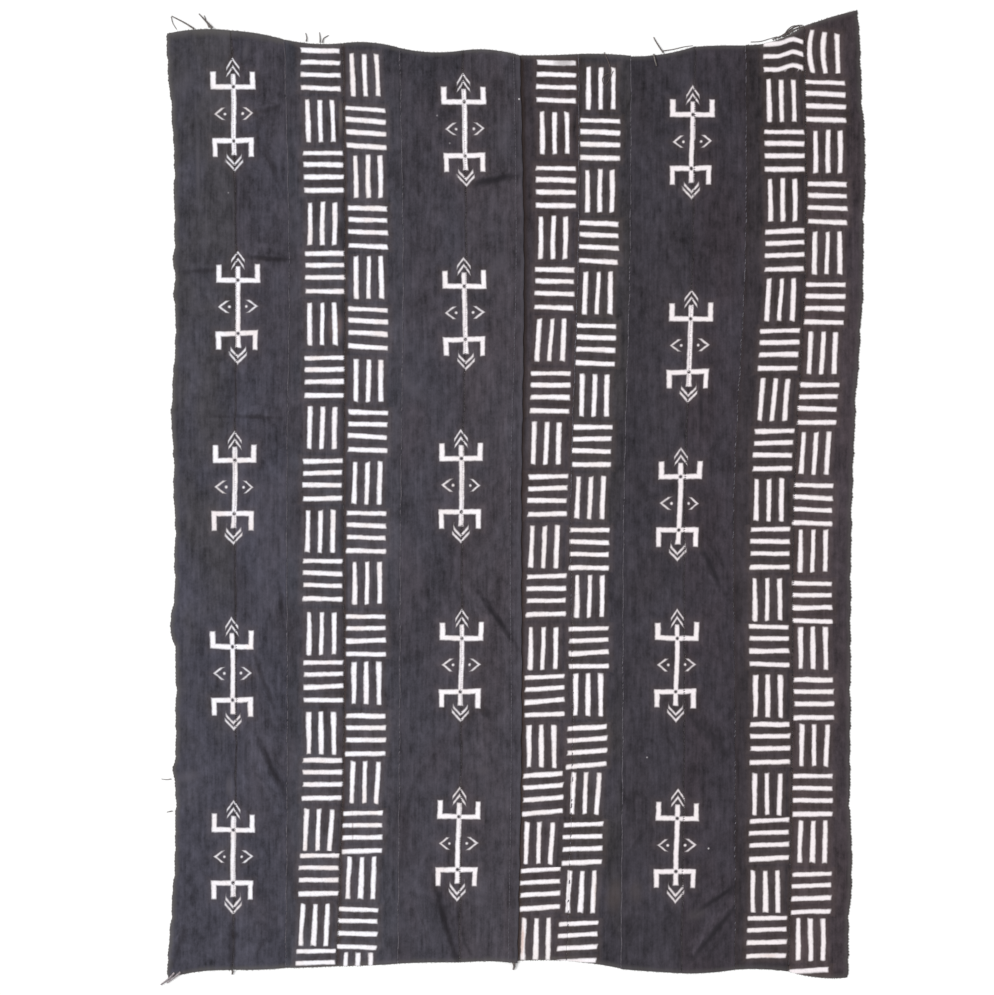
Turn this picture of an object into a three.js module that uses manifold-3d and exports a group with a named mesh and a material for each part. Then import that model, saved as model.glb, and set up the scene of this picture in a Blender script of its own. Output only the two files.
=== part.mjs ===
// Mud-dyed cotton cloth of twelve narrow woven strips sewn side by side, lying face up on a flat surface.
// Millimetres: +X runs across the strips, +Y along the warp and +Z up, and the underside rests at z = 0.
import * as THREE from "three";
import { mergeVertices } from "three/addons/utils/BufferGeometryUtils.js";
import Module from "manifold-3d";

const thickness = 1.6;
const seamGap = 0.3;
const rowsInside = 48;
const rowsAtSelvedge = 96;
const evenColumns = [0, 0.25, 0.5, 0.75, 1];
const selvedgeColumns = [0, 0.33, 0.67, 1];

// The right margin of one strip lies on top of the next strip's left margin, the only lapped seam.
const lapSeam = 6;
const lapWidth = [13, 18, 17, 12, 8];
const lapRise = thickness + 0.5;
const lapColumns = [0, 0.33, 0.66, 0.79, 1];
const lapColumnRaised = 0.79;

// Where each line along the warp lies at five heights y, from the bottom end to the top end.
const stations = [-800, -400, 0, 400, 800];
const lines = [
  { name: "left selvedge", x: [-573, -559, -562, -560, -576] },
  { name: "seam 1", x: [-465, -459, -461, -459, -468] },
  { name: "seam 2", x: [-377, -374, -375, -371, -380] },
  { name: "seam 3", x: [-293, -281, -281, -279, -283] },
  { name: "seam 4", x: [-191, -188, -186, -182, -189] },
  { name: "seam 5", x: [-89, -86, -84, -78, -85] },
  { name: "seam 6", x: [7, 14, 14, 18, 10] },
  { name: "seam 7", x: [88, 99, 96, 108, 109] },
  { name: "seam 8", x: [179, 182, 184, 194, 196] },
  { name: "seam 9", x: [279, 284, 285, 298, 303] },
  { name: "seam 10", x: [368, 368, 366, 385, 386] },
  { name: "seam 11", x: [457, 463, 466, 485, 483] },
  { name: "right selvedge", x: [555, 558.5, 561.5, 580, 574] },
];

// Height y of each strip's two ends, at its left edge, middle and right edge.
const ends = [
  { top: [770, 777, 775], bottom: [-796, -785, -783] },
  { top: [775, 770, 760], bottom: [-782, -782, -779] },
  { top: [760, 753, 754], bottom: [-779, -778, -776] },
  { top: [754, 755, 746], bottom: [-776, -775, -772] },
  { top: [746, 739, 742], bottom: [-772, -770, -770] },
  { top: [742, 743, 733], bottom: [-770, -768, -771] },
  { top: [734, 734, 736], bottom: [-768, -766, -767] },
  { top: [736, 736, 733], bottom: [-767, -772, -780] },
  { top: [732, 736, 749], bottom: [-781, -785, -788] },
  { top: [748, 750, 750], bottom: [-788, -787, -782] },
  { top: [751, 758, 783], bottom: [-782, -781, -785] },
  { top: [783, 797, 809], bottom: [-785, -795, -795] },
];

// Weft loops that swell out of the two outer edges, or draw in where reach is below 0.
// The middle of each lies at y and half is half its length.
const swellings = [
  { side: "left", y: 590, reach: -4, half: 150 },
  { side: "left", y: 393, reach: 4, half: 24 },
  { side: "left", y: 344, reach: 4, half: 24 },
  { side: "left", y: 150, reach: 5, half: 110 },
  { side: "left", y: -55, reach: -3, half: 45 },
  { side: "left", y: -210, reach: 9, half: 48 },
  { side: "left", y: -450, reach: 4, half: 24 },
  { side: "left", y: -600, reach: -4.5, half: 190 },
  { side: "right", y: 825, reach: -5.5, half: 65 },
  { side: "right", y: 570, reach: 4, half: 130 },
  { side: "right", y: 345, reach: 2, half: 30 },
  { side: "right", y: 160, reach: -1.5, half: 80 },
  { side: "right", y: -610, reach: 5, half: 110 },
];
const scallop = { reach: 0.9, wave: 61, slowWave: 97 };

// Soft folds of the laid cloth: middle, turn from +X in degrees, length, half width and height of the crest.
const folds = [
  { x: -412, y: 398, turn: 2, length: 130, half: 30, height: 3 },
  { x: -414, y: 640, turn: 8, length: 110, half: 34, height: 3 },
  { x: -410, y: 134, turn: -2, length: 120, half: 30, height: 2.5 },
  { x: -410, y: -277, turn: -68, length: 170, half: 28, height: 4.5 },
  { x: -400, y: -462, turn: -64, length: 170, half: 28, height: 5 },
  { x: -525, y: -715, turn: 55, length: 130, half: 28, height: 4 },
  { x: -420, y: -725, turn: 74, length: 120, half: 26, height: 3.5 },
  { x: -206, y: -526, turn: -56, length: 120, half: 28, height: 3.5 },
  { x: -140, y: -690, turn: -76, length: 200, half: 26, height: 5.5 },
  { x: -46, y: -188, turn: -62, length: 130, half: 24, height: 4 },
  { x: -36, y: 532, turn: 10, length: 70, half: 28, height: 2.5 },
  { x: 320, y: 138, turn: 90, length: 220, half: 26, height: 4 },
  { x: 326, y: -99, turn: -61, length: 150, half: 28, height: 4 },
  { x: 330, y: -385, turn: -37, length: 140, half: 28, height: 3.5 },
  { x: 342, y: -650, turn: 41, length: 130, half: 26, height: 3.5 },
  { x: 332, y: -722, turn: 50, length: 170, half: 26, height: 5 },
];

// Warp ends that trail loose from a strip's end: root and tip on the surface, bent towards bend.
const strandHeight = 1.2;
const strandSteps = 5;
const strands = [
  { strip: 1, root: [-520, 768], bend: [-546, 792], tip: [-568, 799], rootHalf: 1.4, tipHalf: 0.7 },
  { strip: 1, root: [-495, 769], bend: [-505, 790], tip: [-521, 802], rootHalf: 1.5, tipHalf: 0.6 },
  { strip: 1, root: [-550, -776], bend: [-561, -794], tip: [-585, -808], rootHalf: 4, tipHalf: 1.4 },
  { strip: 1, root: [-540, -776], bend: [-552, -795], tip: [-576, -806], rootHalf: 2.2, tipHalf: 1.2 },
  { strip: 3, root: [-344, 749], bend: [-342, 760], tip: [-344, 771], rootHalf: 1, tipHalf: 0.6 },
  { strip: 3, root: [-319, 746], bend: [-320, 760], tip: [-321, 772], rootHalf: 1, tipHalf: 0.6 },
  { strip: 7, root: [1, -757], bend: [1, -770], tip: [-1, -782], rootHalf: 5, tipHalf: 1.5 },
  { strip: 9, root: [250, 730], bend: [240, 745], tip: [233, 764], rootHalf: 1.2, tipHalf: 0.7 },
];

const wasm = await Module();
wasm.setup();

const lineCurves = lines.map((line) => new THREE.CubicInterpolant(stations, line.x, 1));
const lapCurve = new THREE.CubicInterpolant(stations, lapWidth, 1);

function lineAt(index, y) {
  return lineCurves[index].evaluate(y)[0];
}

// A rounded hump, 1 in the middle and 0 from half outwards.
function hump(distance, half) {
  return Math.abs(distance) < half ? Math.cos((Math.PI * distance) / (2 * half)) ** 2 : 0;
}

// How far an outer edge stands out of its line at height y.
function edgeReach(side, y) {
  const wave = Math.sin((2 * Math.PI * y) / scallop.wave) + Math.sin((2 * Math.PI * y) / scallop.slowWave);
  const own = swellings.filter((swelling) => swelling.side === side);
  return own.reduce((sum, s) => sum + s.reach * hump(y - s.y, s.half), scallop.reach * wave);
}

// Height of the underside over the surface: flat at 0 but for the folds.
function foldHeight(x, y) {
  return folds.reduce((sum, fold) => {
    const turn = THREE.MathUtils.degToRad(fold.turn);
    const along = (x - fold.x) * Math.cos(turn) + (y - fold.y) * Math.sin(turn);
    const across = (y - fold.y) * Math.cos(turn) - (x - fold.x) * Math.sin(turn);
    return sum + fold.height * hump(along, fold.length / 2) * hump(across, fold.half);
  }, 0);
}

// The curve through a strip end's heights at its left edge, middle and right edge.
function endAt([left, middle, right], share) {
  const bow = 2 * (left - 2 * middle + right);
  return left + (right - left - bow) * share + bow * share * share;
}

function leftEdge(index, y) {
  if (index === 0) return lineAt(0, y) - edgeReach("left", y);
  if (index === lapSeam) return lineAt(lapSeam, y) - lapCurve.evaluate(y)[0];
  return lineAt(index, y) + seamGap / 2;
}

function rightEdge(index, y) {
  if (index === lines.length - 2) return lineAt(index + 1, y) + edgeReach("right", y);
  return lineAt(index + 1, y) - seamGap / 2;
}

function columnsOf(index) {
  if (index === lapSeam - 1) return lapColumns;
  return index === 0 || index === ends.length - 1 ? selvedgeColumns : evenColumns;
}

// A point of the strip's underside, share across it and share up it.
function undersidePoint(index, across, up) {
  const bottom = endAt(ends[index].bottom, across);
  const y = bottom + up * (endAt(ends[index].top, across) - bottom);
  const x = THREE.MathUtils.lerp(leftEdge(index, y), rightEdge(index, y), across);
  const raised = index === lapSeam - 1 && across >= lapColumnRaised ? lapRise : 0;
  return [x, y, foldHeight(x, y) + raised];
}

// One closed sheet over a grid of points: its top, its underside and the wall around its edge.
function stripGeometry(index) {
  const columns = columnsOf(index);
  const rows = index === 0 || index === ends.length - 1 ? rowsAtSelvedge : rowsInside;
  const wide = columns.length;
  const layer = wide * (rows + 1);
  const points = [];
  for (const lift of [0, thickness]) {
    for (let row = 0; row <= rows; row += 1) {
      for (const across of columns) {
        const [x, y, z] = undersidePoint(index, across, row / rows);
        points.push(x, y, z + lift);
      }
    }
  }
  const faces = [];
  const quad = (a, b, c, d) => faces.push(a, b, c, a, c, d);
  for (let row = 0; row < rows; row += 1) {
    for (let column = 0; column < wide - 1; column += 1) {
      const a = row * wide + column;
      const d = a + wide;
      quad(layer + a, layer + a + 1, layer + d + 1, layer + d);
      quad(a, d, d + 1, a + 1);
    }
  }
  const wall = (a, b) => quad(a, b, layer + b, layer + a);
  for (let row = 0; row < rows; row += 1) {
    wall((row + 1) * wide, row * wide);
    wall(row * wide + wide - 1, (row + 1) * wide + wide - 1);
  }
  for (let column = 0; column < wide - 1; column += 1) {
    wall(column, column + 1);
    wall(rows * wide + column + 1, rows * wide + column);
  }
  const geometry = new THREE.BufferGeometry();
  geometry.setAttribute("position", new THREE.Float32BufferAttribute(points, 3));
  return geometry.setIndex(faces);
}

// A loose end as a tapering four-sided strand that lies level on the surface.
function strandGeometry(strand) {
  const flat = (p) => new THREE.Vector2(p[0], p[1]);
  const curve = new THREE.QuadraticBezierCurve(flat(strand.root), flat(strand.bend), flat(strand.tip));
  const points = [];
  for (let step = 0; step <= strandSteps; step += 1) {
    const share = step / strandSteps;
    const middle = curve.getPoint(share);
    const along = curve.getTangent(share);
    const half = THREE.MathUtils.lerp(strand.rootHalf, strand.tipHalf, share);
    const side = new THREE.Vector2(-along.y, along.x).multiplyScalar(half);
    points.push(middle.x - side.x, middle.y - side.y, 0);
    points.push(middle.x + side.x, middle.y + side.y, 0);
    points.push(middle.x + side.x, middle.y + side.y, strandHeight);
    points.push(middle.x - side.x, middle.y - side.y, strandHeight);
  }
  const faces = [];
  const quad = (a, b, c, d) => faces.push(a, b, c, a, c, d);
  for (let step = 0; step < strandSteps; step += 1) {
    for (let corner = 0; corner < 4; corner += 1) {
      const a = step * 4 + corner;
      const b = step * 4 + ((corner + 1) % 4);
      quad(a, b, b + 4, a + 4);
    }
  }
  const tip = strandSteps * 4;
  quad(3, 2, 1, 0);
  quad(tip, tip + 1, tip + 2, tip + 3);
  const geometry = new THREE.BufferGeometry();
  geometry.setAttribute("position", new THREE.Float32BufferAttribute(points, 3));
  return geometry.setIndex(faces);
}

function toSolid(geometry) {
  const merged = mergeVertices(geometry, 1e-4);
  const vertProperties = new Float32Array(merged.attributes.position.array);
  const triVerts = new Uint32Array(merged.index.array);
  return new wasm.Manifold(new wasm.Mesh({ numProp: 3, vertProperties, triVerts }));
}

function toGeometry(solid) {
  const mesh = solid.getMesh();
  const geometry = new THREE.BufferGeometry();
  geometry.setAttribute("position", new THREE.BufferAttribute(mesh.vertProperties, 3));
  geometry.setIndex(new THREE.BufferAttribute(mesh.triVerts, 1));
  geometry.computeVertexNormals();
  return geometry;
}

const figureGround = new THREE.MeshStandardMaterial({ color: "#43434c", roughness: 0.95, metalness: 0 });
const blockGround = new THREE.MeshStandardMaterial({ color: "#3d3636", roughness: 0.95, metalness: 0 });

const cloth = new THREE.Group();
for (let index = 0; index < ends.length; index += 1) {
  const number = index + 1;
  const loose = strands.filter((strand) => strand.strip === number);
  const joined = loose.reduce(
    (solid, strand) => solid.add(toSolid(strandGeometry(strand))),
    toSolid(stripGeometry(index)),
  );
  const carriesFigures = index % 4 < 2;
  const strip = new THREE.Mesh(toGeometry(joined), carriesFigures ? figureGround : blockGround);
  strip.name = "strip_" + String(number).padStart(2, "0");
  cloth.add(strip);
}

export default cloth;
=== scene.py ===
import bpy
import math
import numpy as np
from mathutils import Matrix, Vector, noise


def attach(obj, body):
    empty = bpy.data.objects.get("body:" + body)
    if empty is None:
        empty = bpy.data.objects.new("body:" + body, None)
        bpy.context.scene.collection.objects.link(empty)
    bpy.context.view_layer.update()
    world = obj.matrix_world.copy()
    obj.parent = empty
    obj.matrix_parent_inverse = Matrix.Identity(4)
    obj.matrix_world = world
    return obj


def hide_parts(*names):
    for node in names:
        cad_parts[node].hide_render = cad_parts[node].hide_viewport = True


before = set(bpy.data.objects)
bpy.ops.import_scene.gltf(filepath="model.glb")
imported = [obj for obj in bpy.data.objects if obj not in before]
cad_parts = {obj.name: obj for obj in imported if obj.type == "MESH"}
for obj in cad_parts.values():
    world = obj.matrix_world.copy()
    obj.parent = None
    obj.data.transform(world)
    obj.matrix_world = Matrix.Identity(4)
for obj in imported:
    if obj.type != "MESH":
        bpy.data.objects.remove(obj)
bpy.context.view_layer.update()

mm = 0.001
mathKind = "ShaderNodeMath"
vectorKind = "ShaderNodeVectorMath"
noiseKind = "ShaderNodeTexNoise"
mixKind = "ShaderNodeMix"
rangeKind = "ShaderNodeMapRange"
surfaceKind = "ShaderNodeBsdfPrincipled"
outputKind = "ShaderNodeOutputMaterial"
colourMix = {"out": 2, "data_type": "RGBA"}  # settings of a mix of two colours
smooth = {"interpolation_type": "SMOOTHSTEP"}  # settings of a range with soft ends


def linearColour(code):  # sRGB hex to linear
    parts = [int(code[at:at + 2], 16) / 255 for at in (1, 3, 5)]
    return [p / 12.92 if p <= 0.04045 else ((p + 0.055) / 1.055) ** 2.4 for p in parts] + [1.0]


def newMaterial(name):  # an empty material, and the function that adds its nodes
    material = bpy.data.materials.new(name)
    material.use_nodes = True
    tree = material.node_tree
    tree.nodes.clear()

    def addNode(kind, sockets, out=0, **settings):  # one node, its settings and its links
        node = tree.nodes.new(kind)
        for setting, value in settings.items():
            setattr(node, setting, value)
        for socket, value in sockets.items():
            if isinstance(value, bpy.types.NodeSocket):
                tree.links.new(value, node.inputs[socket])
            else:
                node.inputs[socket].default_value = value
        return None if out is None else node.outputs[out]

    return material, addNode


# studio: straight above the cloth, which fills the picture as in the photograph
studio = {
    "pictureWide": 1.650,  # metres of floor across the picture
    "middle": (-0.0266, 0.0008),
    "lens": 85.0,
    "sensor": 36.0,
    "floorColour": "#f3f3f3",
    "skyStrength": 0.68,
    "keyStrength": 2.74,
    "keyTurn": (55.0, 0.0, -105.0),  # low from the left, so that folds show
    "keySoftness": 26.0,
    "keyPlace": (-2, 2, 3),
    "floorSize": 14,
    "farthest": 60,
}


def makeStudio():
    scene = bpy.context.scene
    height = studio["pictureWide"] * studio["lens"] / studio["sensor"]
    bpy.ops.object.select_all(action="DESELECT")
    bpy.ops.object.camera_add(location=(*studio["middle"], height), rotation=(0, 0, 0))
    camera = bpy.context.object
    camera.data.lens = studio["lens"]
    camera.data.sensor_width = studio["sensor"]
    camera.data.clip_end = studio["farthest"]
    scene.camera = camera

    turn = [math.radians(angle) for angle in studio["keyTurn"]]
    bpy.ops.object.light_add(type="SUN", location=studio["keyPlace"], rotation=turn)
    key = bpy.context.object
    key.data.energy = studio["keyStrength"]
    key.data.angle = math.radians(studio["keySoftness"])

    world = bpy.data.worlds.new("pale studio")
    world.use_nodes = True
    world.node_tree.nodes["Background"].inputs["Color"].default_value = (1, 1, 1, 1)
    world.node_tree.nodes["Background"].inputs["Strength"].default_value = studio["skyStrength"]
    scene.world = world
    scene.view_settings.view_transform = "Standard"
    scene.view_settings.look = "None"

    bpy.ops.object.select_all(action="DESELECT")
    bpy.ops.mesh.primitive_plane_add(size=studio["floorSize"])
    floor = bpy.context.object
    floor.name = "floor"
    paper, add = newMaterial("matt studio paper")  # even, no shine
    shade = add(surfaceKind, {
        "Base Color": linearColour(studio["floorColour"]), "Roughness": 1.0, "Specular IOR Level": 0.0})
    add(outputKind, {"Surface": shade}, out=None)
    floor.data.materials.append(paper)
    print("studio: camera", round(height, 3), "m above the cloth")


makeStudio()

# cloth: the laid shape, in millimetres, x across the strips and y along the warp
cloth = {
    "thickness": 1.6,
    "seamGap": 0.3,
    "stations": (-800, 400),  # first height and step of the numbers below
    "lines": (  # left selvedge, seams 1 to 11, right selvedge
        (-573, -559, -562, -560, -576),
        (-465, -459, -461, -459, -468),
        (-377, -374, -375, -371, -380),
        (-293, -281, -281, -279, -283),
        (-191, -188, -186, -182, -189),
        (-89, -86, -84, -78, -85),
        (7, 14, 14, 18, 10),
        (88, 99, 96, 108, 109),
        (179, 182, 184, 194, 196),
        (279, 284, 285, 298, 303),
        (368, 368, 366, 385, 386),
        (457, 463, 466, 485, 483),
        (555, 558.5, 561.5, 580, 574),
    ),
    "topEnds": (  # at the strip's left edge, middle and right edge
        (770, 777, 775), (775, 770, 760), (760, 753, 754), (754, 755, 746),
        (746, 739, 742), (742, 743, 733), (734, 734, 736), (736, 736, 733),
        (732, 736, 749), (748, 750, 750), (751, 758, 783), (783, 797, 809),
    ),
    "bottomEnds": (
        (-796, -785, -783), (-782, -782, -779), (-779, -778, -776), (-776, -775, -772),
        (-772, -770, -770), (-770, -768, -771), (-768, -766, -767), (-767, -772, -780),
        (-781, -785, -788), (-788, -787, -782), (-782, -781, -785), (-785, -795, -795),
    ),
    "lapSeam": 6,
    "lapWidth": (13, 18, 17, 12, 8),
    "lapRise": 2.1,
    "lapRamp": (0.68, 0.79),  # shares across the strip that climbs onto the next one
    "leftSwellings": (  # y, reach, half
        (590, -4, 150), (393, 4, 24), (344, 4, 24), (150, 5, 110), (-55, -3, 45), (-210, 9, 48),
        (-450, 4, 24), (-600, -4.5, 190),
    ),
    "rightSwellings": ((825, -5.5, 65), (570, 4, 130), (345, 2, 30), (160, -1.5, 80), (-610, 5, 110)),
    "bumps": (  # wave, reach and start of the outer selvedges' unevenness
        (61, 0.5, 0.0), (97, 0.5, 0.0), (37.3, 0.45, 2.3), (23.7, 0.35, 1.1), (14.1, 0.25, 0.4)),
    "seamDepth": (0.7, 0.4, 0.25, 0.45, 0.25, 0.4, 1.1, 0.35, 0.25, 0.4, 0.25, 0.45, 0.7),  # at each line
    "seamWander": ((83, 0.5), (37, 0.35)),  # wave and reach of the seams' unevenness
    "folds": (  # x, y, turn from x in degrees, length, half width, height of the middle
        (-412, 398, 2, 130, 30, 3), (-414, 640, 8, 110, 34, 3), (-410, 134, -2, 120, 30, 2.5),
        (-410, -277, -68, 170, 28, 4.5), (-400, -462, -64, 170, 28, 5), (-525, -715, 55, 130, 28, 4),
        (-420, -725, 74, 120, 26, 3.5), (-206, -526, -56, 120, 28, 3.5), (-140, -690, -76, 200, 26, 5.5),
        (-46, -188, -62, 130, 24, 4), (-36, 532, 10, 70, 28, 2.5), (320, 138, 90, 220, 26, 4),
        (326, -99, -61, 150, 28, 4), (330, -385, -37, 140, 28, 3.5), (342, -650, 41, 130, 26, 3.5),
        (332, -722, 50, 170, 26, 5),
    ),
    "creases": (  # pressed into the upper face: x, y, turn, length, half width left and right of it, height
        (-407, 646, 14, 70, 9, 5, 1.3), (-399, 545, -63, 95, 8, 6, -1.2),
        (-402, 399, -4, 120, 10, 5, 1.6), (-532, 376, 4, 80, 10, 5, 1.3), (-436, 136, -2, 140, 8, 5, 1.2),
        (-33, 531, 11, 110, 12, 7, 2.4), (-35, 559, 8, 64, 8, 8, 0.9), (-29, 614, 4, 60, 7, 7, 0.8),
        (308, 140, 90, 190, 10, 5, 1.4), (-388, -176, 90, 76, 9, 5, 1.5),
        (-413, -310, -70, 160, 5, 10, 1.2), (-402, -447, -65, 160, 5, 12, 1.8),
        (-554, -732, 71, 110, 8, 6, 1.0), (-475, -717, 90, 115, 7, 5, 0.9),
        (-420, -715, -55, 110, 9, 6, 0.8), (-29, -198, -55, 150, 5, 11, 1.8),
        (-144, -593, -84, 160, 8, 5, 1.1), (-117, -699, -74, 160, 6, 12, 1.8),
        (-50, -353, -45, 50, 5, 8, 1.0), (325, -114, -62, 110, 5, 10, 1.6),
        (325, -396, -46, 110, 12, 8, -1.3), (262, -409, -58, 56, 5, 6, 0.8),
        (338, -660, 35, 92, 9, 5, 1.2), (338, -710, 50, 185, 10, 5, 1.0), (204, -568, 57, 60, 8, 5, 0.8),
        (228, 330, 84, 120, 9, 9, 0.7), (-236, 520, 86, 150, 9, 9, 0.7), (-238, -120, 92, 160, 9, 9, 0.7),
        (128, 210, 88, 130, 8, 8, 0.6), (512, 120, 90, 180, 9, 9, 0.7),
    ),
    "lumps": ((0.34, 46, 70, 3.1), (0.16, 13, 26, 8.4)),  # unevenness: height, wide, long and seed
    "puckers": (0.38, 60, 10, 17.7),  # the same beside the seams, which draw the cloth in
    "puckerFade": 9.0,
    "endRoll": (5.0, 0.5, 0.3),  # half width of the rolled ends, and height at the top and the bottom
    "edgeRound": (1.9, 0.4, 2.6),  # width of the rounded edge, and share and fade of the slope to it
    "endRound": (0.8, 2.2),  # depth and width
    "underLap": (30.0, 0.2),  # so far in from its edge the lapped strip stays under this height
    "thinnest": 0.5,
    "typical": (96.0, 1550.0),  # a strip's width and length, for spacing its cells
    "cells": (3.1, 5.0),  # size of the mesh cells, figure strips and block strips
    "edgeCells": (0.0, 0.9, 2.2, 4.2),  # closer where the edges round over
}
stripNames = ["strip_%02d" % (number + 1) for number in range(12)]


def curveAt(values, place):  # smooth curve through evenly spaced values
    padded = np.array([2 * values[0] - values[1], *values, 2 * values[-1] - values[-2]], float)
    cell = np.minimum(place.astype(int), len(values) - 2)
    t = place - cell
    before, here, there, after = (padded[cell + offset] for offset in range(4))
    square = 2 * before - 5 * here + 4 * there - after
    cube = 3 * (here - there) + after - before
    return here + 0.5 * ((there - before) * t + (square * t ** 2 + cube * t ** 3))


def lineAt(values, y):  # smooth line through its five stations, held beyond them
    first, step = cloth["stations"]
    return curveAt(values, np.clip((np.asarray(y, float) - first) / step, 0, len(values) - 1))


def eased(value, start, full):  # 0 up to start, 1 from full on, soft between
    climb = np.clip((value - start) / (full - start), 0, 1)
    return climb * climb * (3 - 2 * climb)


def hump(distance, half):  # 1 in the middle, 0 from half outwards
    inside = np.abs(distance) < half
    return np.where(inside, np.cos(np.pi * np.asarray(distance) / (2 * half)) ** 2, 0.0)


def edgeReach(swellings, y):  # how far an outer selvedge stands out of its line
    total = sum(reach * np.sin(2 * np.pi * y / wave + start) for wave, reach, start in cloth["bumps"])
    for middle, size, half in swellings:
        total = total + size * hump(y - middle, half)
    return total


def ridges(table, x, y):  # heights of folds or creases added up
    total = np.zeros_like(x)
    for middleX, middleY, turn, length, *halves, height in table:
        cosine, sine = math.cos(math.radians(turn)), math.sin(math.radians(turn))
        along = (x - middleX) * cosine + (y - middleY) * sine
        aside = (y - middleY) * cosine - (x - middleX) * sine
        half = np.where(aside > 0, halves[0], halves[-1])
        total += height * hump(along, length / 2) * hump(aside, half)
    return total


def endAt(heights, share):
    left, middle, right = heights
    bow = 2 * (left - 2 * middle + right)
    return left + (right - left - bow) * share + bow * share * share


def seamAt(number, y):  # a seam's line, with the small wander of the hand
    wander = sum(reach * np.sin(2 * np.pi * y / wave + 1.7 * number) for wave, reach in cloth["seamWander"])
    return lineAt(cloth["lines"][number], y) + wander


def leftEdge(index, y):
    if index == 0:
        return lineAt(cloth["lines"][0], y) - edgeReach(cloth["leftSwellings"], y)
    if index == cloth["lapSeam"]:
        return seamAt(index, y) - lineAt(cloth["lapWidth"], y)
    return seamAt(index, y) + cloth["seamGap"] / 2


def rightEdge(index, y):
    if index == 11:
        return lineAt(cloth["lines"][12], y) + edgeReach(cloth["rightSwellings"], y)
    return seamAt(index + 1, y) - cloth["seamGap"] / 2


def widthAt(index, y):
    return rightEdge(index, y) - leftEdge(index, y)


def endsAt(index, across):  # heights of a strip's bottom and top end
    return endAt(cloth["bottomEnds"][index], across), endAt(cloth["topEnds"][index], across)


def softNoise(x, y, wide, tall, seed):  # smooth unevenness from -1 to 1, wide by tall millimetres
    return np.array([noise.noise(Vector((a / wide, b / tall, seed))) for a, b in zip(x, y)])


def lapLift(index, across):  # the climb of strip 6 onto strip 7
    if index != cloth["lapSeam"] - 1:
        return np.zeros_like(across)
    return cloth["lapRise"] * eased(across, *cloth["lapRamp"])


def upperFace(index, across, x, y, topGap, bottomGap):  # height of the cloth's upper face
    width = widthAt(index, y)
    gaps = across * width, (1 - across) * width
    edgeGap = np.minimum(*gaps)
    lumps = sum(rise * softNoise(x, y, wide, tall, seed) for rise, wide, tall, seed in cloth["lumps"])
    rise, wide, tall, seed = cloth["puckers"]
    puckers = rise * np.exp(-edgeGap / cloth["puckerFade"]) * softNoise(x, y, wide, tall, seed + index)
    half, topRoll, bottomRoll = cloth["endRoll"]
    roll = topRoll * hump(topGap - half, half) + bottomRoll * hump(bottomGap - half, half)
    edgeDrop = np.zeros_like(x)
    wide, share, fade = cloth["edgeRound"]
    for gap, depth in zip(gaps, cloth["seamDepth"][index:index + 2]):
        edgeDrop += depth * (np.clip(1 - gap / wide, 0, 1) ** 2 + share * np.exp(-gap / fade))
    depth, wide = cloth["endRound"]
    endDrop = depth * np.clip(1 - np.minimum(topGap, bottomGap) / wide, 0, 1) ** 2
    relief = ridges(cloth["creases"], x, y) + lumps + puckers + roll - edgeDrop - endDrop
    if index == cloth["lapSeam"]:
        margin, highest = cloth["underLap"]
        relief = np.where(edgeGap < margin, np.minimum(relief, highest), relief)
    thickness = np.maximum(cloth["thickness"] + relief, cloth["thinnest"])
    return ridges(cloth["folds"], x, y) + lapLift(index, across) + thickness


# painted bars: six columns of blocks, level and upright in turn, in millimetres
bars = {
    "columns": (  # from the bottom end up: middle line, heights along it, slant of the level bars in percent
        {"strip": 2, "blocks": 19, "line": (-329, -315, -315, -312, -321),
         "heights": (-784, -428, -55, 330, 710), "slant": (0, 1, 1, 1, -1)},
        {"strip": 3, "blocks": 19, "line": (-260, -245, -243, -240, -249),
         "heights": (-791, -431, -59, 324, 699), "slant": (-2, 2, -3, -5, -4)},
        {"strip": 6, "blocks": 18, "line": (40, 51, 57, 70, 72),
         "heights": (-731, -390, -38, 325, 689), "slant": (6, 7, 1, -2, -2)},
        {"strip": 7, "blocks": 18, "line": (104, 123, 128, 142, 147),
         "heights": (-734, -389, -41, 319, 679), "slant": (5, 5, 1, -5, -3)},
        {"strip": 10, "blocks": 19, "line": (419, 426, 427, 450, 447),
         "heights": (-729, -367, -3, 370, 742), "slant": (5, 2, 0, 2, 0)},
        {"strip": 11, "blocks": 20, "line": (491, 498, 497, 521, 516),
         "heights": (-814, -431, -50, 344, 740), "slant": (5, 1, -2, -1, -4)},
    ),
    "uprightShift": (-3.7, 0.8),  # how far the upright bars stand aside, in a left and in a right column
    "pairs": 1.7,  # in the lower half the rows were painted two by two: how far they keep apart
    "hand": (1.0, 0.6, 0.014),  # how far a block strays in height, aside and in tilt
    "step": 100.0,  # from one block to the next in the map
    "levelRows": (31.2, 11.6, -8.6, -31.2),
    "levelReach": 32.4,
    "levelHalf": 3.57,
    "uprightColumns": (0.0, 20.6),  # the middle bar, and one on either side of it
    "uprightReach": 34.6,
    "uprightHalf": 3.42,
    "sway": 5.0,  # how far a hand-drawn bar strays
    "swaySize": (62, 15),  # along and across it
    "endSway": 6.0,
    "endSwaySize": (90, 13),
    "corner": 3.0,
    "mapReach": 48.0,  # the map's end on either side of a block's middle
    "drawnUp": 705,  # above this height the two blocks at the drawn-up corner are bent
    "pulled": {"strip": 10, "climb": (436, 466), "rise": 8.0, "fall": 0.35, "highest": 21.0},
    "leaning": {"strip": 11, "slope": 0.13, "hinge": 20.0, "bow": 5.5, "half": 36.0, "fade": (0.55, 45.0)},
}

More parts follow.
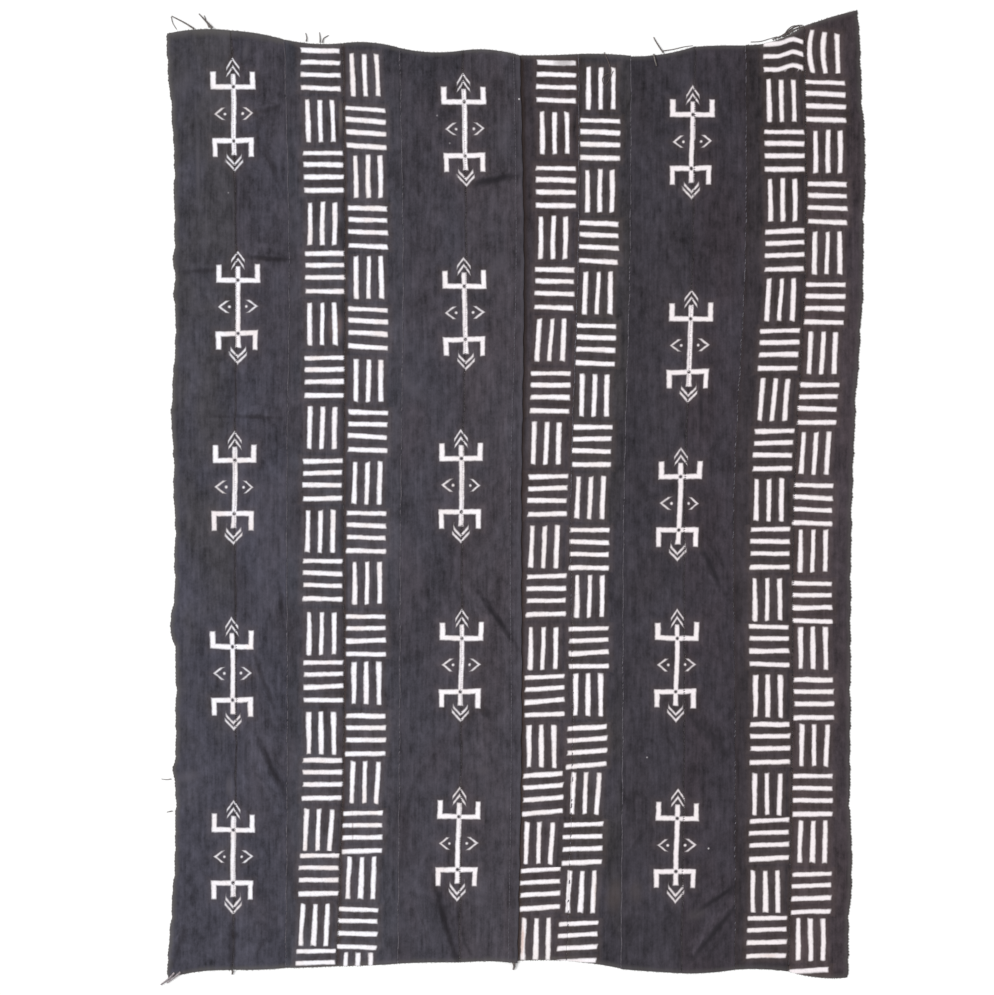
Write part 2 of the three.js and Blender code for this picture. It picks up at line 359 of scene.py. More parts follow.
# painted figures: three columns, each centred near a seam
figures = {
    "columns": (
        {"strips": (0, 1), "places": (  # middle height and x, and how far the foot leans in x
            (637, -463, 2), (317, -456, 0), (18, -462, -1), (-290, -465, 2), (-594, -464, 0))},
        {"strips": (4, 5), "places": (
            (612, -80, 3), (307, -80, 2), (21, -86, 0), (-276, -86, -1), (-572, -91, -2))},
        {"strips": (8, 9), "places": (
            (591, 297, -1), (253, 293, -3), (-9, 276, -3), (-276, 271, -1), (-575, 271, -2))},
    ),
    "step": 300.0,
    "armRise": 44.0,  # crossbars lie this far above and below the middle
    "armReach": 35.4,
    "armHalf": 3.65,
    "horn": 31.4,  # uprights at the crossbar's ends
    "hornTop": 69.5,
    "hornHalf": 3.75,
    "stemHalf": 3.65,
    "stemTop": 66.0,
    "tips": (90.3, 78.3),
    "tipReach": (12.1, 10.6),
    "tipSlope": 1.22,
    "tipHalf": (0.95, 1.08),
    "eyeTip": 30.4,
    "eyeReach": 9.6,
    "eyeSlope": 1.25,
    "eyeHalf": 0.95,
    "dotPlace": 14.6,
    "dotRadius": 1.7,
    "gapRadius": 2.9,
    "foot": ((-145, -71, -44), (-143.5, -69.5, -44)),  # the lower half is drawn a little longer
    "tipSink": (1.6, 3.8),  # and its chevrons lie lower
    "footNarrow": 0.026,  # and its lower uprights stand closer
    "tipWide": (1.17, 0.86),  # how far the map squeezes the upper chevrons and spreads the lower ones
    "footBold": 0.1,
    "footAside": 2.2,  # the lower uprights stand this far left of the stem's middle
    "sway": 6.0,
    "swaySizes": ((44, 110), (70, 44)),  # across and along, of the wander aside and in height
    "round": (1.5, 0.6),  # corners of the bold and of the fine strokes
    "reach": 145.0,  # the map's end above and below the middle
    "leanReach": 90.0,  # the height that the lean is given for
    "slim": 1.008,
    "slimReach": 58.0,
    "footFrom": (-60.0, -64.0),  # the foot's own chevrons set in between these heights
    "footUprights": (-20.0, 18.0),  # the lower uprights stand below this height and this far out
    "chevrons": (60.0, 8.0, 22.0),  # where they start, how soft that is, and their half width
}

# mud dye: a matt charcoal to the eye, streaked along the warp, bluer on the left and browner on the right
dyeKeys = ("warm", "cool", "left", "right", "rim", "low", "dim")
dyes = [dict(zip(dyeKeys, row)) for row in (
    # the two colours, a band beside the left and right seam of mud and painted seam shade (strength, width,
    # own colour), and how worn the rim, how much cooler the bottom and how much dimmer the top is
    ("#3e3c41", "#41404a", (0, 9), (0.4, 4), 0.6, 0.9, -0.06),
    ("#403d45", "#41404a", (0.45, 4), (0, 9), 0.6, 0.7, 0.16),
    ("#3e3b42", "#3d3d45", (0, 9), (0.35, 7), 0.5, 0.1, 0.16),
    ("#403d44", "#403f47", (0.75, 9), (0, 9), 0.5, 0.2, 0.2),
    ("#3f3b42", "#3e3c44", (0, 9), (0.35, 4), 0.5, 0.2, 0.2),
    ("#413c42", "#403d44", (0.4, 4), (0.5, 9, "#55525a"), 0.5, 0.2, 0.18),
    # strip 7: its wide left band is mostly the painted shadow of strip 6's lapped edge, with brown mud
    ("#393338", "#3a363c", (0.85, 11), (0.2, 9), 0.45, 0.5, 0.18),
    ("#393639", "#39363d", (0.4, 9), (0, 9), 0.45, 0.1, 0.16),
    ("#38343a", "#38353c", (0, 9), (0.3, 4), 0.4, 0.1, 0.16),
    ("#383238", "#38343b", (0.3, 4), (0, 9), 0.4, 0.1, 0.12),
    ("#353034", "#353035", (0.3, 9), (0.3, 9), 0.4, 0.1, 0.26),
    ("#3d3539", "#3d363b", (0.5, 9), (0, 9), 0.4, 0.1, 0.26),
    ("#3f3a37", "#3b393b", (0.2, 9), (0.2, 9), 0.5, 0.2, 0.0),  # the underside of all strips
)]
dyeing = {
    "fields": (  # wide, long and depth of the streaks, mottling, blotches, fibre grain and warp lines
        (5.0, 40.0, 0.7), (11.0, 18.0, 1.35), (42.0, 75.0, 1.0), (2.8, 2.8, 0.6), (4.0, 90.0, 0.7)),
    "grain": {"Scale": 1.0, "Detail": 3.0, "Roughness": 0.55},
    "castSize": (64.0, 120.0),  # patches that turn from warm to cool
    "castTurn": (0.36, 0.64),
    "castDrop": 3200.0,  # height over which the bottom turns fully cool
    "dimFrom": (250.0, 800.0),  # heights between which the top grows dimmer
    # dark brown beside the seams: mud, and painted shade of the seams' gaps and of the lapped edge
    "seamMudAndShade": "#2b211e",
    # colour of the painted shade along the creases
    "creaseShadeColour": "#262328",
    "rimFuzz": "#5d5a58",  # worn fibres along the outer edges
    "rimWide": 10.0,
    "rimRagged": 8.0,
    "topRim": (0.65, 1.0),  # the rim at the top is wider on strips 1 and 2
    "markEdge": (1.4, 0.5),  # where a stain starts and where it is full, in shares of its half size
    "markRagged": 0.8,
}
spots = (  # stains, worn places and lint: strip, x, y, turn, half length, half width, colour, strength
    (2, -294, 282, 90, 30, 17, "#66595a", 0.75), (2, -286, 632, 90, 40, 5, "#6b6361", 0.6),
    (7, 168, -659, 80, 40, 22, "#564d4c", 0.4), (8, 203, -652, 90, 30, 16, "#4f4848", 0.35),
    (9, 305, -690, 20, 26, 14, "#4c474a", 0.5), (0, -538, -462, 10, 26, 14, "#56535c", 0.6),
    (0, -470, -478, 90, 26, 9, "#5a575f", 0.55), (5, -50, -452, 0, 16, 12, "#544f55", 0.5),
    (0, -522, 551, 90, 80, 6, "#57545b", 0.45), (1, -443, 742, 80, 28, 9, "#57545b", 0.45),
    (0, -545, 685, 70, 45, 20, "#55525a", 0.35), (5, -18, 602, 90, 60, 16, "#56525a", 0.35),
    (5, -28, 382, 60, 42, 20, "#56525a", 0.35), (4, -173, 188, -45, 50, 14, "#55525a", 0.35),
    (5, 10, 661, 0, 2.4, 2.6, "#d8d4d6", 1.0), (8, 222, -430, 0, 2.2, 2.2, "#d0ccce", 0.5),
    (9, 324, -581, 0, 2.2, 2.4, "#d0ccce", 0.8), (4, -126, 634, 0, 2.4, 2.4, "#8f8c90", 0.8),
    (4, -105, 588, 0, 2.4, 2.4, "#8f8c90", 0.6), (0, -472, 506, 0, 2.2, 2.2, "#8f8c90", 0.8),
)
paintedCreaseShade = (  # painted shade along the creases: strip, x, y, turn, half length, half width, strength
    (1, -407, 643, 16, 38, 7, 0.5), (1, -421, 615, -45, 16, 7, 0.35), (1, -399, 549, -67, 58, 8, 0.45),
    (1, -406, 397, -5, 70, 7, 0.8), (0, -512, 377, 4, 72, 7, 0.6), (1, -416, 334, 0, 34, 16, 0.3),
    (1, -424, 134, -2, 66, 5, 0.55), (0, -482, 135, -2, 40, 5, 0.4), (5, -35, 527, 11, 66, 11, 0.95),
    (9, 311, 142, 90, 105, 6, 0.5), (4, -132, -3, 3, 26, 5, 0.35), (1, -384, -176, 90, 38, 7, 0.75),
    (1, -410, -311, -70, 100, 7, 0.55), (1, -400, -446, -65, 90, 9, 0.65), (0, -551, -733, 71, 62, 12, 0.55),
    (0, -468, -733, 90, 80, 5, 0.5), (1, -462, -733, 90, 80, 5, 0.5), (5, -27, -199, -55, 92, 8, 0.9),
    (5, -48, -354, -45, 20, 12, 0.55), (4, -113, -700, -74, 110, 9, 0.95), (4, -173, -598, 45, 40, 26, 0.25),
    (5, -76, -745, -60, 22, 5, 0.45), (9, 327, -113, -63, 72, 8, 0.9), (9, 307, -48, 90, 48, 6, 0.45),
    (9, 327, -395, -47, 76, 14, 0.7), (8, 263, -410, -59, 32, 6, 0.45), (8, 197, -354, 0, 8, 8, 0.5),
    (9, 339, -662, 35, 56, 7, 0.85), (9, 336, -715, 51, 112, 8, 0.95), (8, 205, -569, 57, 34, 5, 0.4),
)
grime = (  # stains over the bared cotton, as above
    (6, 84, 722, 0, 28, 9, "#8d8788", 0.6), (2, -290, 640, 90, 44, 9, "#a39c9c", 0.4),
    (6, 15, -732, 88, 42, 6, "#c49c89", 0.65), (7, 139, -653, 86, 44, 6, "#d6bfb4", 0.55),
    (10, 423, -759, 0, 22, 6, "#d6c3ba", 0.5), (3, -266, -548, 90, 42, 2.5, "#7d6259", 0.45),
)
bleach = {  # bared cotton: chalky white, a little pink, thinner where the thread was missed
    "plain": ("#f1eff5", "#f1ecf0", "#ebe3e6"),  # left, middle and right third of the cloth
    "worn": "#d3ccd0", "blush": "#ebe3e4", "fuzz": 6.5, "fuzzDepth": 2.0, "soft": 1.8,
    "creep": "#dcbcaa", "creepWide": 13.0, "barCreep": 0.036, "figureCreep": 0.021,  # around a mark
    "thinned": (0.53, 0.82), "blushed": (0.45, 0.65),  # parts of the dye's grain and blotches that turn so
}
weave = {
    "warp": 1.7, "weft": 2.0,  # coarser than the real threads, which the picture can't show
    "uneven": {"Distortion": 2.0, "Detail": 1.0, "Detail Scale": 0.6},
    "streaks": 1.5,  # how much the dye's streaks stand out
    "bump": {"Strength": 0.4, "Distance": 0.5 * mm},
    "finish": {"Roughness": 0.92, "Specular IOR Level": 0.12, "Sheen Weight": 0.03, "Sheen Roughness": 0.6},
}


def stained(add, colour, spot, rough, marks):  # soft-edged long or round marks
    start, full = dyeing["markEdge"]
    for x, y, turn, long, wide, code, amount in marks:
        off = add(vectorKind, {0: spot, 1: (x, y, 0)}, operation="SUBTRACT")
        if turn:
            back = -math.radians(turn)
            off = add("ShaderNodeVectorRotate", {"Vector": off, "Angle": back}, rotation_type="Z_AXIS")
        off = add(vectorKind, {0: off, 1: (1 / long, 1 / wide, 0)}, operation="MULTIPLY")
        size = add(vectorKind, {0: off}, out="Value", operation="LENGTH")
        size = add(mathKind, {0: rough, 1: dyeing["markRagged"], 2: size}, operation="MULTIPLY_ADD")
        near = add(rangeKind, {0: size, 1: start, 2: full, 3: 0.0, 4: amount}, **smooth)
        colour = add(mixKind, {0: near, 6: colour, 7: linearColour(code)}, **colourMix)
    return colour


def mudGround(add, dye):  # colour of the dyed cloth, its place in millimetres, and the dye's unevenness
    place = add("ShaderNodeTexCoord", {}, out="Object")
    spot = add(vectorKind, {0: place, "Scale": 1000.0}, operation="SCALE")
    height = add("ShaderNodeSeparateXYZ", {0: spot}, out=1)
    low, high = dyeing["dimFrom"]
    level = add(rangeKind, {0: height, 1: low, 2: high, 3: 0.0, 4: -dye["dim"]})
    plain = 1 - sum(depth for wide, tall, depth in dyeing["fields"]) / 2  # the fields swing around it
    level = add(mathKind, {0: level, 1: plain}, operation="ADD")
    fields = []
    for wide, tall, depth in dyeing["fields"]:
        stretched = add(vectorKind, {0: spot, 1: (1 / wide, 1 / tall, 0.3)}, operation="MULTIPLY")
        field = add(noiseKind, {"Vector": stretched, **dyeing["grain"]})
        level = add(mathKind, {0: field, 1: depth, 2: level}, operation="MULTIPLY_ADD")
        fields.append(field)
    wide, tall = dyeing["castSize"]
    stretched = add(vectorKind, {0: spot, 1: (1 / wide, 1 / tall, 0.1)}, operation="MULTIPLY")
    cast = add(noiseKind, {"Vector": stretched, "Scale": 1.0, "Detail": 2.0})
    drop = -dye["low"] / dyeing["castDrop"]
    cast = add(mathKind, {0: height, 1: drop, 2: cast}, operation="MULTIPLY_ADD")
    warmest, coolest = dyeing["castTurn"]
    cast = add(rangeKind, {0: cast, 1: warmest, 2: coolest})
    warm, cool = linearColour(dye["warm"]), linearColour(dye["cool"])
    tone = add(mixKind, {0: cast, 6: warm, 7: cool}, **colourMix)
    colour = add(vectorKind, {0: tone, "Scale": level}, operation="SCALE")

    gaps = add("ShaderNodeUVMap", {}, uv_map="stripPlace")
    gaps = add("ShaderNodeSeparateXYZ", {0: gaps}).node.outputs
    for edge, inward, (amount, wide, *own) in ((0.0, 1, dye["left"]), (100.0, -1, dye["right"])):
        if amount:  # mud beside a seam, and painted shade of the seam's gap and of the lapped edge
            inside = edge + inward * wide
            near = add(rangeKind, {0: gaps[0], 1: edge, 2: inside, 3: amount, 4: 0.0}, **smooth)
            mud = linearColour(own[0] if own else dyeing["seamMudAndShade"])
            colour = add(mixKind, {0: near, 6: colour, 7: mud}, **colourMix)
    rough = dyeing["rimRagged"]
    ragged = add(mathKind, {0: fields[1], 1: rough, 2: gaps[1]}, operation="MULTIPLY_ADD")
    inside = dyeing["rimWide"] + rough / 2
    atRim = add(rangeKind, {0: ragged, 1: inside, 2: rough / 2, 3: 0.0, 4: dye["rim"]}, **smooth)
    colour = add(mixKind, {0: atRim, 6: colour, 7: linearColour(dyeing["rimFuzz"])}, **colourMix)
    return colour, spot, fields


def swayed(add, place, size, amount, value, channel):  # value moved by a slow wander of the hand
    stretched = add(vectorKind, {0: place, 1: (1 / size[0], 1 / size[1], 1)}, operation="MULTIPLY")
    wander = add(noiseKind, {"Vector": stretched, "Scale": 1.0, "Detail": 1.0}, out="Color")
    parts = add("ShaderNodeSeparateColor", {0: wander}).node.outputs
    moved = add(mathKind, {0: parts[channel], 1: amount, 2: value}, operation="MULTIPLY_ADD")
    return add(mathKind, {0: moved, 1: amount / 2}, operation="SUBTRACT")


def fromLine(add, value, middle, half):  # distance from a band, below 0 inside it
    off = add(mathKind, {0: value, 1: middle}, operation="SUBTRACT")
    off = add(mathKind, {0: off}, operation="ABSOLUTE")
    return add(mathKind, {0: off, 1: half}, operation="SUBTRACT")


def nearest(add, distances):
    found = distances[0]
    for other in distances[1:]:
        found = add(mathKind, {0: found, 1: other}, operation="MINIMUM")
    return found


def painted(add, distance, spot, creep):  # share of bared cotton, and of bleach in the cloth around it
    fuzz = add(noiseKind, {"Vector": spot, "Scale": 1 / bleach["fuzz"], "Detail": 2.5})
    ragged = add(mathKind, {0: fuzz, 1: bleach["fuzzDepth"], 2: distance}, operation="MULTIPLY_ADD")
    middle, soft = bleach["fuzzDepth"] / 2, bleach["soft"]
    bared = add(rangeKind, {0: ragged, 1: middle + soft, 2: middle - soft}, **smooth)
    wide = bleach["creepWide"]
    crept = add(rangeKind, {0: distance, 1: wide, 2: 0.0, 4: creep}, **smooth)
    return bared, crept


def mapParts(add, name, step):  # a map, its u, the repeat that v is in, and how far from its middle
    place = add("ShaderNodeUVMap", {}, uv_map=name)
    parts = add("ShaderNodeSeparateXYZ", {0: place}).node.outputs
    order = add(mathKind, {0: parts[1], 1: step}, operation="DIVIDE")
    order = add(mathKind, {0: order}, operation="ROUND")
    along = add(mathKind, {0: order, 1: -step, 2: parts[1]}, operation="MULTIPLY_ADD")
    return place, parts[0], order, along


def barMask(add, spot):
    place, aside, order, along = mapParts(add, "barPlace", bars["step"])
    size, endSize = bars["swaySize"], bars["endSwaySize"]
    levelAlong = swayed(add, place, size, bars["sway"], along, 0)
    levelAside = swayed(add, place, endSize, bars["endSway"], aside, 1)
    rows = nearest(add, [fromLine(add, levelAlong, row, bars["levelHalf"]) for row in bars["levelRows"]])
    ends = fromLine(add, levelAside, 0.0, bars["levelReach"])
    level = add(mathKind, {0: rows, 1: ends, 2: bars["corner"]}, operation="SMOOTH_MAX")

    uprightAside = swayed(add, place, size[::-1], bars["sway"], aside, 0)
    uprightAside = add(mathKind, {0: uprightAside}, operation="ABSOLUTE")
    uprightAlong = swayed(add, place, endSize[::-1], bars["endSway"], along, 1)
    half = bars["uprightHalf"]
    rows = nearest(add, [fromLine(add, uprightAside, row, half) for row in bars["uprightColumns"]])
    ends = fromLine(add, uprightAlong, 0.0, bars["uprightReach"])
    upright = add(mathKind, {0: rows, 1: ends, 2: bars["corner"]}, operation="SMOOTH_MAX")

    turned = add(mathKind, {0: order, 1: 2.0}, operation="MODULO")
    distance = add(mixKind, {0: turned, 2: level, 3: upright})
    return painted(add, distance, spot, bleach["barCreep"])


def figureMask(add, spot):
    place, aside, order, along = mapParts(add, "figurePlace", figures["step"])
    asideSize, riseSize = figures["swaySizes"]
    across = swayed(add, place, asideSize, figures["sway"], aside, 0)
    across = add(mathKind, {0: across}, operation="ABSOLUTE")
    rise = swayed(add, place, riseSize, figures["sway"], along, 1)
    rise = add(mathKind, {0: rise}, operation="ABSOLUTE")

    def leg(level, slide, slope, tip, half):  # distance from a chevron, whose legs its inputs mirror
        size = math.hypot(1, slope)
        level = add(mathKind, {0: level, 1: 1 / size}, operation="MULTIPLY")
        line = add(mathKind, {0: slide, 1: slope / size, 2: level}, operation="MULTIPLY_ADD")
        return fromLine(add, line, tip / size, half)

    bold, fine = figures["round"]
    hornMiddle = (figures["armRise"] + figures["hornTop"]) / 2
    crossings = [  # a stroke, its ends, and how round its corners are
        (fromLine(add, rise, figures["armRise"], figures["armHalf"]),
         fromLine(add, across, 0.0, figures["armReach"]), bold),
        (fromLine(add, across, figures["horn"], figures["hornHalf"]),
         fromLine(add, rise, hornMiddle, figures["hornTop"] - hornMiddle), bold),
        (fromLine(add, across, 0.0, figures["stemHalf"]),
         fromLine(add, rise, 0.0, figures["stemTop"]), bold),
        (leg(across, rise, figures["eyeSlope"], figures["eyeTip"], figures["eyeHalf"]),
         fromLine(add, rise, 0.0, figures["eyeReach"]), fine),
    ]
    start, full = figures["footFrom"]
    wider = add(rangeKind, {0: along, 1: start, 2: full, 3: 0.0, 4: figures["footBold"]})
    tips = zip(figures["tips"], figures["tipReach"], figures["tipHalf"], figures["tipSink"])
    for tip, reach, half, sink in tips:
        low = add(rangeKind, {0: along, 1: start, 2: full, 3: 0.0, 4: sink})
        low = add(mathKind, {0: rise, 1: low}, operation="SUBTRACT")
        line = leg(low, across, figures["tipSlope"], tip, half)
        line = add(mathKind, {0: line, 1: wider}, operation="SUBTRACT")
        crossings.append((line, fromLine(add, across, 0.0, reach), fine))
    shapes = [add(mathKind, {0: stroke, 1: ends, 2: corner}, operation="SMOOTH_MAX")
              for stroke, ends, corner in crossings]
    pair = add("ShaderNodeCombineXYZ", {0: across, 1: rise})
    away = {"out": "Value", "operation": "DISTANCE"}
    dot = add(vectorKind, {0: pair, 1: (figures["dotPlace"], 0, 0)}, **away)
    shapes.append(fromLine(add, dot, 0.0, figures["dotRadius"]))
    gap = add(vectorKind, {0: pair, 1: (0, figures["armRise"], 0)}, **away)  # dark where bars cross
    gap = add(mathKind, {0: figures["gapRadius"], 1: gap}, operation="SUBTRACT")
    marked = add(mathKind, {0: nearest(add, shapes), 1: gap}, operation="MAXIMUM")
    return painted(add, marked, spot, bleach["figureCreep"])


def clothMaterial(name, strip, mask):  # handspun cotton: matt, a little light on the fibre tips, no gloss
    material, add = newMaterial(name)
    colour, spot, fields = mudGround(add, dyes[strip])
    marks = [mark[1:] for mark in spots if mark[0] == strip]
    # the painted shade along the creases is laid on like the stains
    marks += [(*mark[1:6], dyeing["creaseShadeColour"], mark[6]) for mark in paintedCreaseShade if mark[0] == strip]
    colour = stained(add, colour, spot, fields[1], marks)
    if mask:
        plain, blush, worn, creep = (linearColour(code) for code in (
            bleach["plain"][strip // 4], bleach["blush"], bleach["worn"], bleach["creep"]))
        start, full = bleach["thinned"]
        thin = add(rangeKind, {0: fields[3], 1: start, 2: full})
        start, full = bleach["blushed"]
        pink = add(rangeKind, {0: fields[2], 1: start, 2: full})
        white = add(mixKind, {0: pink, 6: plain, 7: blush}, **colourMix)
        white = add(mixKind, {0: thin, 6: white, 7: worn}, **colourMix)
        white = stained(add, white, spot, fields[1], [mark[1:] for mark in grime if mark[0] == strip])
        bared, crept = mask(add, spot)
        colour = add(mixKind, {0: crept, 6: colour, 7: creep}, **colourMix)
        colour = add(mixKind, {0: bared, 6: colour, 7: white}, **colourMix)
    threads = []
    for spacing, direction in ((weave["warp"], "X"), (weave["weft"], "Y")):
        waves = {"Vector": spot, "Scale": math.pi / 10 / spacing, **weave["uneven"]}
        threads.append(add("ShaderNodeTexWave", waves, out="Fac", bands_direction=direction))
    height = add(mathKind, {0: threads[0], 1: threads[1]}, operation="MAXIMUM")
    height = add(mathKind, {0: fields[0], 1: weave["streaks"], 2: height}, operation="MULTIPLY_ADD")
    bump = add("ShaderNodeBump", {"Height": height, **weave["bump"]}, out="Normal")
    shade = add(surfaceKind, {"Base Color": colour, "Normal": bump, **weave["finish"]})
    add(outputKind, {"Surface": shade}, out=None)
    return material


def barBlocks(column):  # height, shift aside and tilt of a column's blocks, from the top
    number = np.arange(column["blocks"])
    share = 1 - number / number[-1]
    first, step = cloth["stations"]
    place = first + share * step * (len(column["heights"]) - 1)
    stray = np.random.default_rng(column["strip"]).normal(0, 1, (3, len(number))).clip(-2, 2)
    height, shift, tilt = stray * np.array(bars["hand"])[:, None]
    height += lineAt(column["heights"], place) + np.where(share < 0.5, bars["pairs"], 0.0) * (-1.0) ** number
    upright = (number + column["strip"]) % 2 == 1
    tilt += np.where(upright, 0.0, lineAt(column["slant"], place) / 100)
    return height, shift, tilt


def barMap(column, x, y, perFace):  # aside of a column's middle, along its blocks, and gap to its bars
    middles, shifts, tilts = barBlocks(column)
    own = np.abs(perFace[:, None] - middles[None, :]).argmin(axis=1).repeat(4)
    inRight = column["strip"] % 2  # right columns start with upright bars
    order = own + inRight
    upright = order % 2 == 1
    middle, shift, tilt = middles[own], shifts[own], tilts[own]
    local = y - middle
    aside = x - lineAt(column["line"], y) - shift
    aside = aside - np.where(upright, bars["uprightShift"][inRight] + tilt * local, 0.0)
    local = local - np.where(upright, 0.0, tilt * aside)
    reach = np.where(upright, bars["uprightColumns"][1] + bars["uprightHalf"], bars["levelReach"])
    gap = (np.abs(aside) - reach).reshape(-1, 4).mean(axis=1)
    pulled, leaning = bars["pulled"], bars["leaning"]
    bent = y > bars["drawnUp"]
    if column["strip"] == pulled["strip"]:
        beyond = np.maximum(x - pulled["climb"][1], 0)
        climb = pulled["rise"] * eased(x, *pulled["climb"]) - pulled["fall"] * beyond
        local = np.where(bent, np.minimum(local - climb, pulled["highest"]), local)
    if column["strip"] == leaning["strip"]:
        most, fade = leaning["fade"]
        bow = leaning["bow"] * (1 - (local / leaning["half"]) ** 2) * np.clip(most - aside / fade, 0, 1)
        local = local + np.where(bent, leaning["slope"] * (aside + leaning["hinge"]), 0.0)
        aside = aside + np.where(bent, bow, 0.0)
    return aside, bars["step"] * order + np.clip(local, -bars["mapReach"], bars["mapReach"]), gap


def figureMap(column, x, y, perFace):  # aside of a figure's stem, and along its column
    places = np.array(column["places"], float)
    own = np.abs(perFace[:, None] - places[None, :, 0]).argmin(axis=1).repeat(4)
    local = np.clip(y - places[own, 0], -figures["reach"], figures["reach"])
    axis = places[own, 1] - places[own, 2] * local / figures["leanReach"]
    aside = (x - axis) * (figures["slim"] - figures["footNarrow"] * local / figures["slimReach"])
    below, out = figures["footUprights"]
    aside = aside + np.where((local < below) & (np.abs(aside) > out), figures["footAside"], 0.0)
    start, soft, half = figures["chevrons"]
    upper, lower = figures["tipWide"]
    ends = np.clip((np.abs(local) - start) / soft, 0, 1) * np.where(local > 0, upper - 1, lower - 1)
    aside = aside * np.where(np.abs(aside) < half, 1 + ends, 1.0)
    local = np.where(local < figures["foot"][0][-1], np.interp(local, *figures["foot"]), local)
    return aside, figures["step"] * own + local


def clothMaps(index, mesh, across, x, y, topGap, bottomGap):  # maps that follow strip, blocks and figures
    corners = np.zeros(len(mesh.loops), int)
    mesh.loops.foreach_get("vertex_index", corners)
    perFace = y[corners].reshape(-1, 4).mean(axis=1)

    def store(name, u, v):
        layer = mesh.uv_layers.new(name=name)
        layer.data.foreach_set("uv", np.column_stack((u, v)).astype(np.float32).ravel())

    outerGap = np.minimum(topGap * dyeing["topRim"][0 if index < 2 else 1], bottomGap)
    if index == 0:
        outerGap = np.minimum(outerGap, x - leftEdge(index, y))
    if index == 11:
        outerGap = np.minimum(outerGap, rightEdge(index, y) - x)
    if index == cloth["lapSeam"]:  # measured from the lap's edge, not from under it
        lapped = seamAt(index, y)
        across = (x - lapped) / (rightEdge(index, y) - lapped)
    store("stripPlace", across[corners] * 100, outerGap[corners])
    if index // 2 % 2:
        columns = [column for column in bars["columns"] if column["strip"] // 2 == index // 2]
        left, right = (barMap(column, x[corners], y[corners], perFace) for column in columns)
        nearer = (left[2] <= right[2]).repeat(4)
        store("barPlace", np.where(nearer, left[0], right[0]), np.where(nearer, left[1], right[1]))
    for column in figures["columns"]:
        if index in column["strips"]:
            store("figurePlace", *figureMap(column, x[corners], y[corners], perFace))


def sideCells(size, cell):  # shares along a side, closer where the edges round over
    fine = np.array(cloth["edgeCells"])
    inner = np.linspace(fine[-1], size - fine[-1], round((size - 2 * fine[-1]) / cell) + 1)[1:-1]
    return np.concatenate((fine, inner, size - fine[::-1])) / size


def pointsOf(mesh):
    flat = np.zeros(len(mesh.vertices) * 3)
    mesh.vertices.foreach_get("co", flat)
    return flat.reshape(-1, 3)


def makeStrip(index, backMaterial):
    name = stripNames[index]
    figured = index % 4 < 2
    columns, rows = (sideCells(size, cloth["cells"][0 if figured else 1]) for size in cloth["typical"])
    bpy.ops.object.select_all(action="DESELECT")
    bpy.ops.mesh.primitive_grid_add(x_subdivisions=len(columns) - 1, y_subdivisions=len(rows) - 1, size=2)
    strip = bpy.context.object
    strip.name = name + "_cloth"
    mesh = strip.data
    flat = pointsOf(mesh)
    across = columns[np.rint((flat[:, 0] + 1) / 2 * (len(columns) - 1)).astype(int)]
    up = rows[np.rint((flat[:, 1] + 1) / 2 * (len(rows) - 1)).astype(int)]
    bottom, top = endsAt(index, across)
    y = bottom + up * (top - bottom)
    x = leftEdge(index, y) + across * widthAt(index, y)
    under = ridges(cloth["folds"], x, y) + lapLift(index, across)
    upper = upperFace(index, across, x, y, top - y, y - bottom)
    mesh.vertices.foreach_set("co", (np.column_stack((x, y, upper)) * mm).ravel())
    mesh.update()
    while mesh.uv_layers:
        mesh.uv_layers.remove(mesh.uv_layers[0])
    clothMaps(index, mesh, across, x, y, top - y, y - bottom)

    mask = figureMask if figured else barMask
    mesh.materials.append(clothMaterial("mud-dyed handspun cotton, strip %d" % (index + 1), index, mask))
    mesh.materials.append(backMaterial)
    shell = strip.modifiers.new("sheet", "SOLIDIFY")
    shell.thickness = cloth["thickness"] * mm
    shell.offset = -1
    shell.material_offset = 1
    bpy.ops.object.modifier_apply(modifier="sheet")
    solid = pointsOf(mesh)
    solid[len(x):] = np.column_stack((x, y, under)) * mm  # the underside lies on its folds
    mesh.vertices.foreach_set("co", solid.ravel())
    mesh.update()
    bpy.ops.object.shade_smooth_by_angle(angle=math.radians(50))
    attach(strip, "root")
    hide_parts(name)
    return strip


backMaterial = clothMaterial("mud-dyed handspun cotton, underside", -1, None)
strips = [makeStrip(index, backMaterial) for index in range(12)]
print("cloth:", len(strips), "strips,", sum(len(strip.data.polygons) for strip in strips), "faces")


def onStrip(index, away, y):  # points on a strip's upper face, so far in from its left or right edge
    y = np.asarray(y, float)
    width = widthAt(index, y)
    across = np.clip(np.where(away >= 0, away / width, 1 + away / width), 0, 1)
    x = leftEdge(index, y) + across * width
    bottom, top = endsAt(index, across)
    return np.column_stack((x, y, upperFace(index, across, x, y, top - y, y - bottom)))


spun = {  # sewing thread and loose warp
    "slub": 3.0,
    "turn": (0.35, 0.65),  # part of a slub over which dark turns pale
    "bump": {"Strength": 0.3, "Distance": 0.2 * mm},
    "finish": {"Roughness": 0.9, "Specular IOR Level": 0.15},
}


def threadMaterial(name, pale, dark):  # spun cotton: matt, a little uneven along its length
    material, add = newMaterial(name)
    place = add("ShaderNodeTexCoord", {}, out="Object")
    slub = add(noiseKind, {"Vector": place, "Scale": 1 / (spun["slub"] * mm), "Detail": 2.0})
    start, full = spun["turn"]
    share = add(rangeKind, {0: slub, 1: start, 2: full})
    colour = add(mixKind, {0: share, 6: linearColour(dark), 7: linearColour(pale)}, **colourMix)
    bump = add("ShaderNodeBump", {"Height": slub, **spun["bump"]}, out="Normal")
    shade = add(surfaceKind, {"Base Color": colour, "Normal": bump, **spun["finish"]})
    add(outputKind, {"Surface": shade}, out=None)
    return material


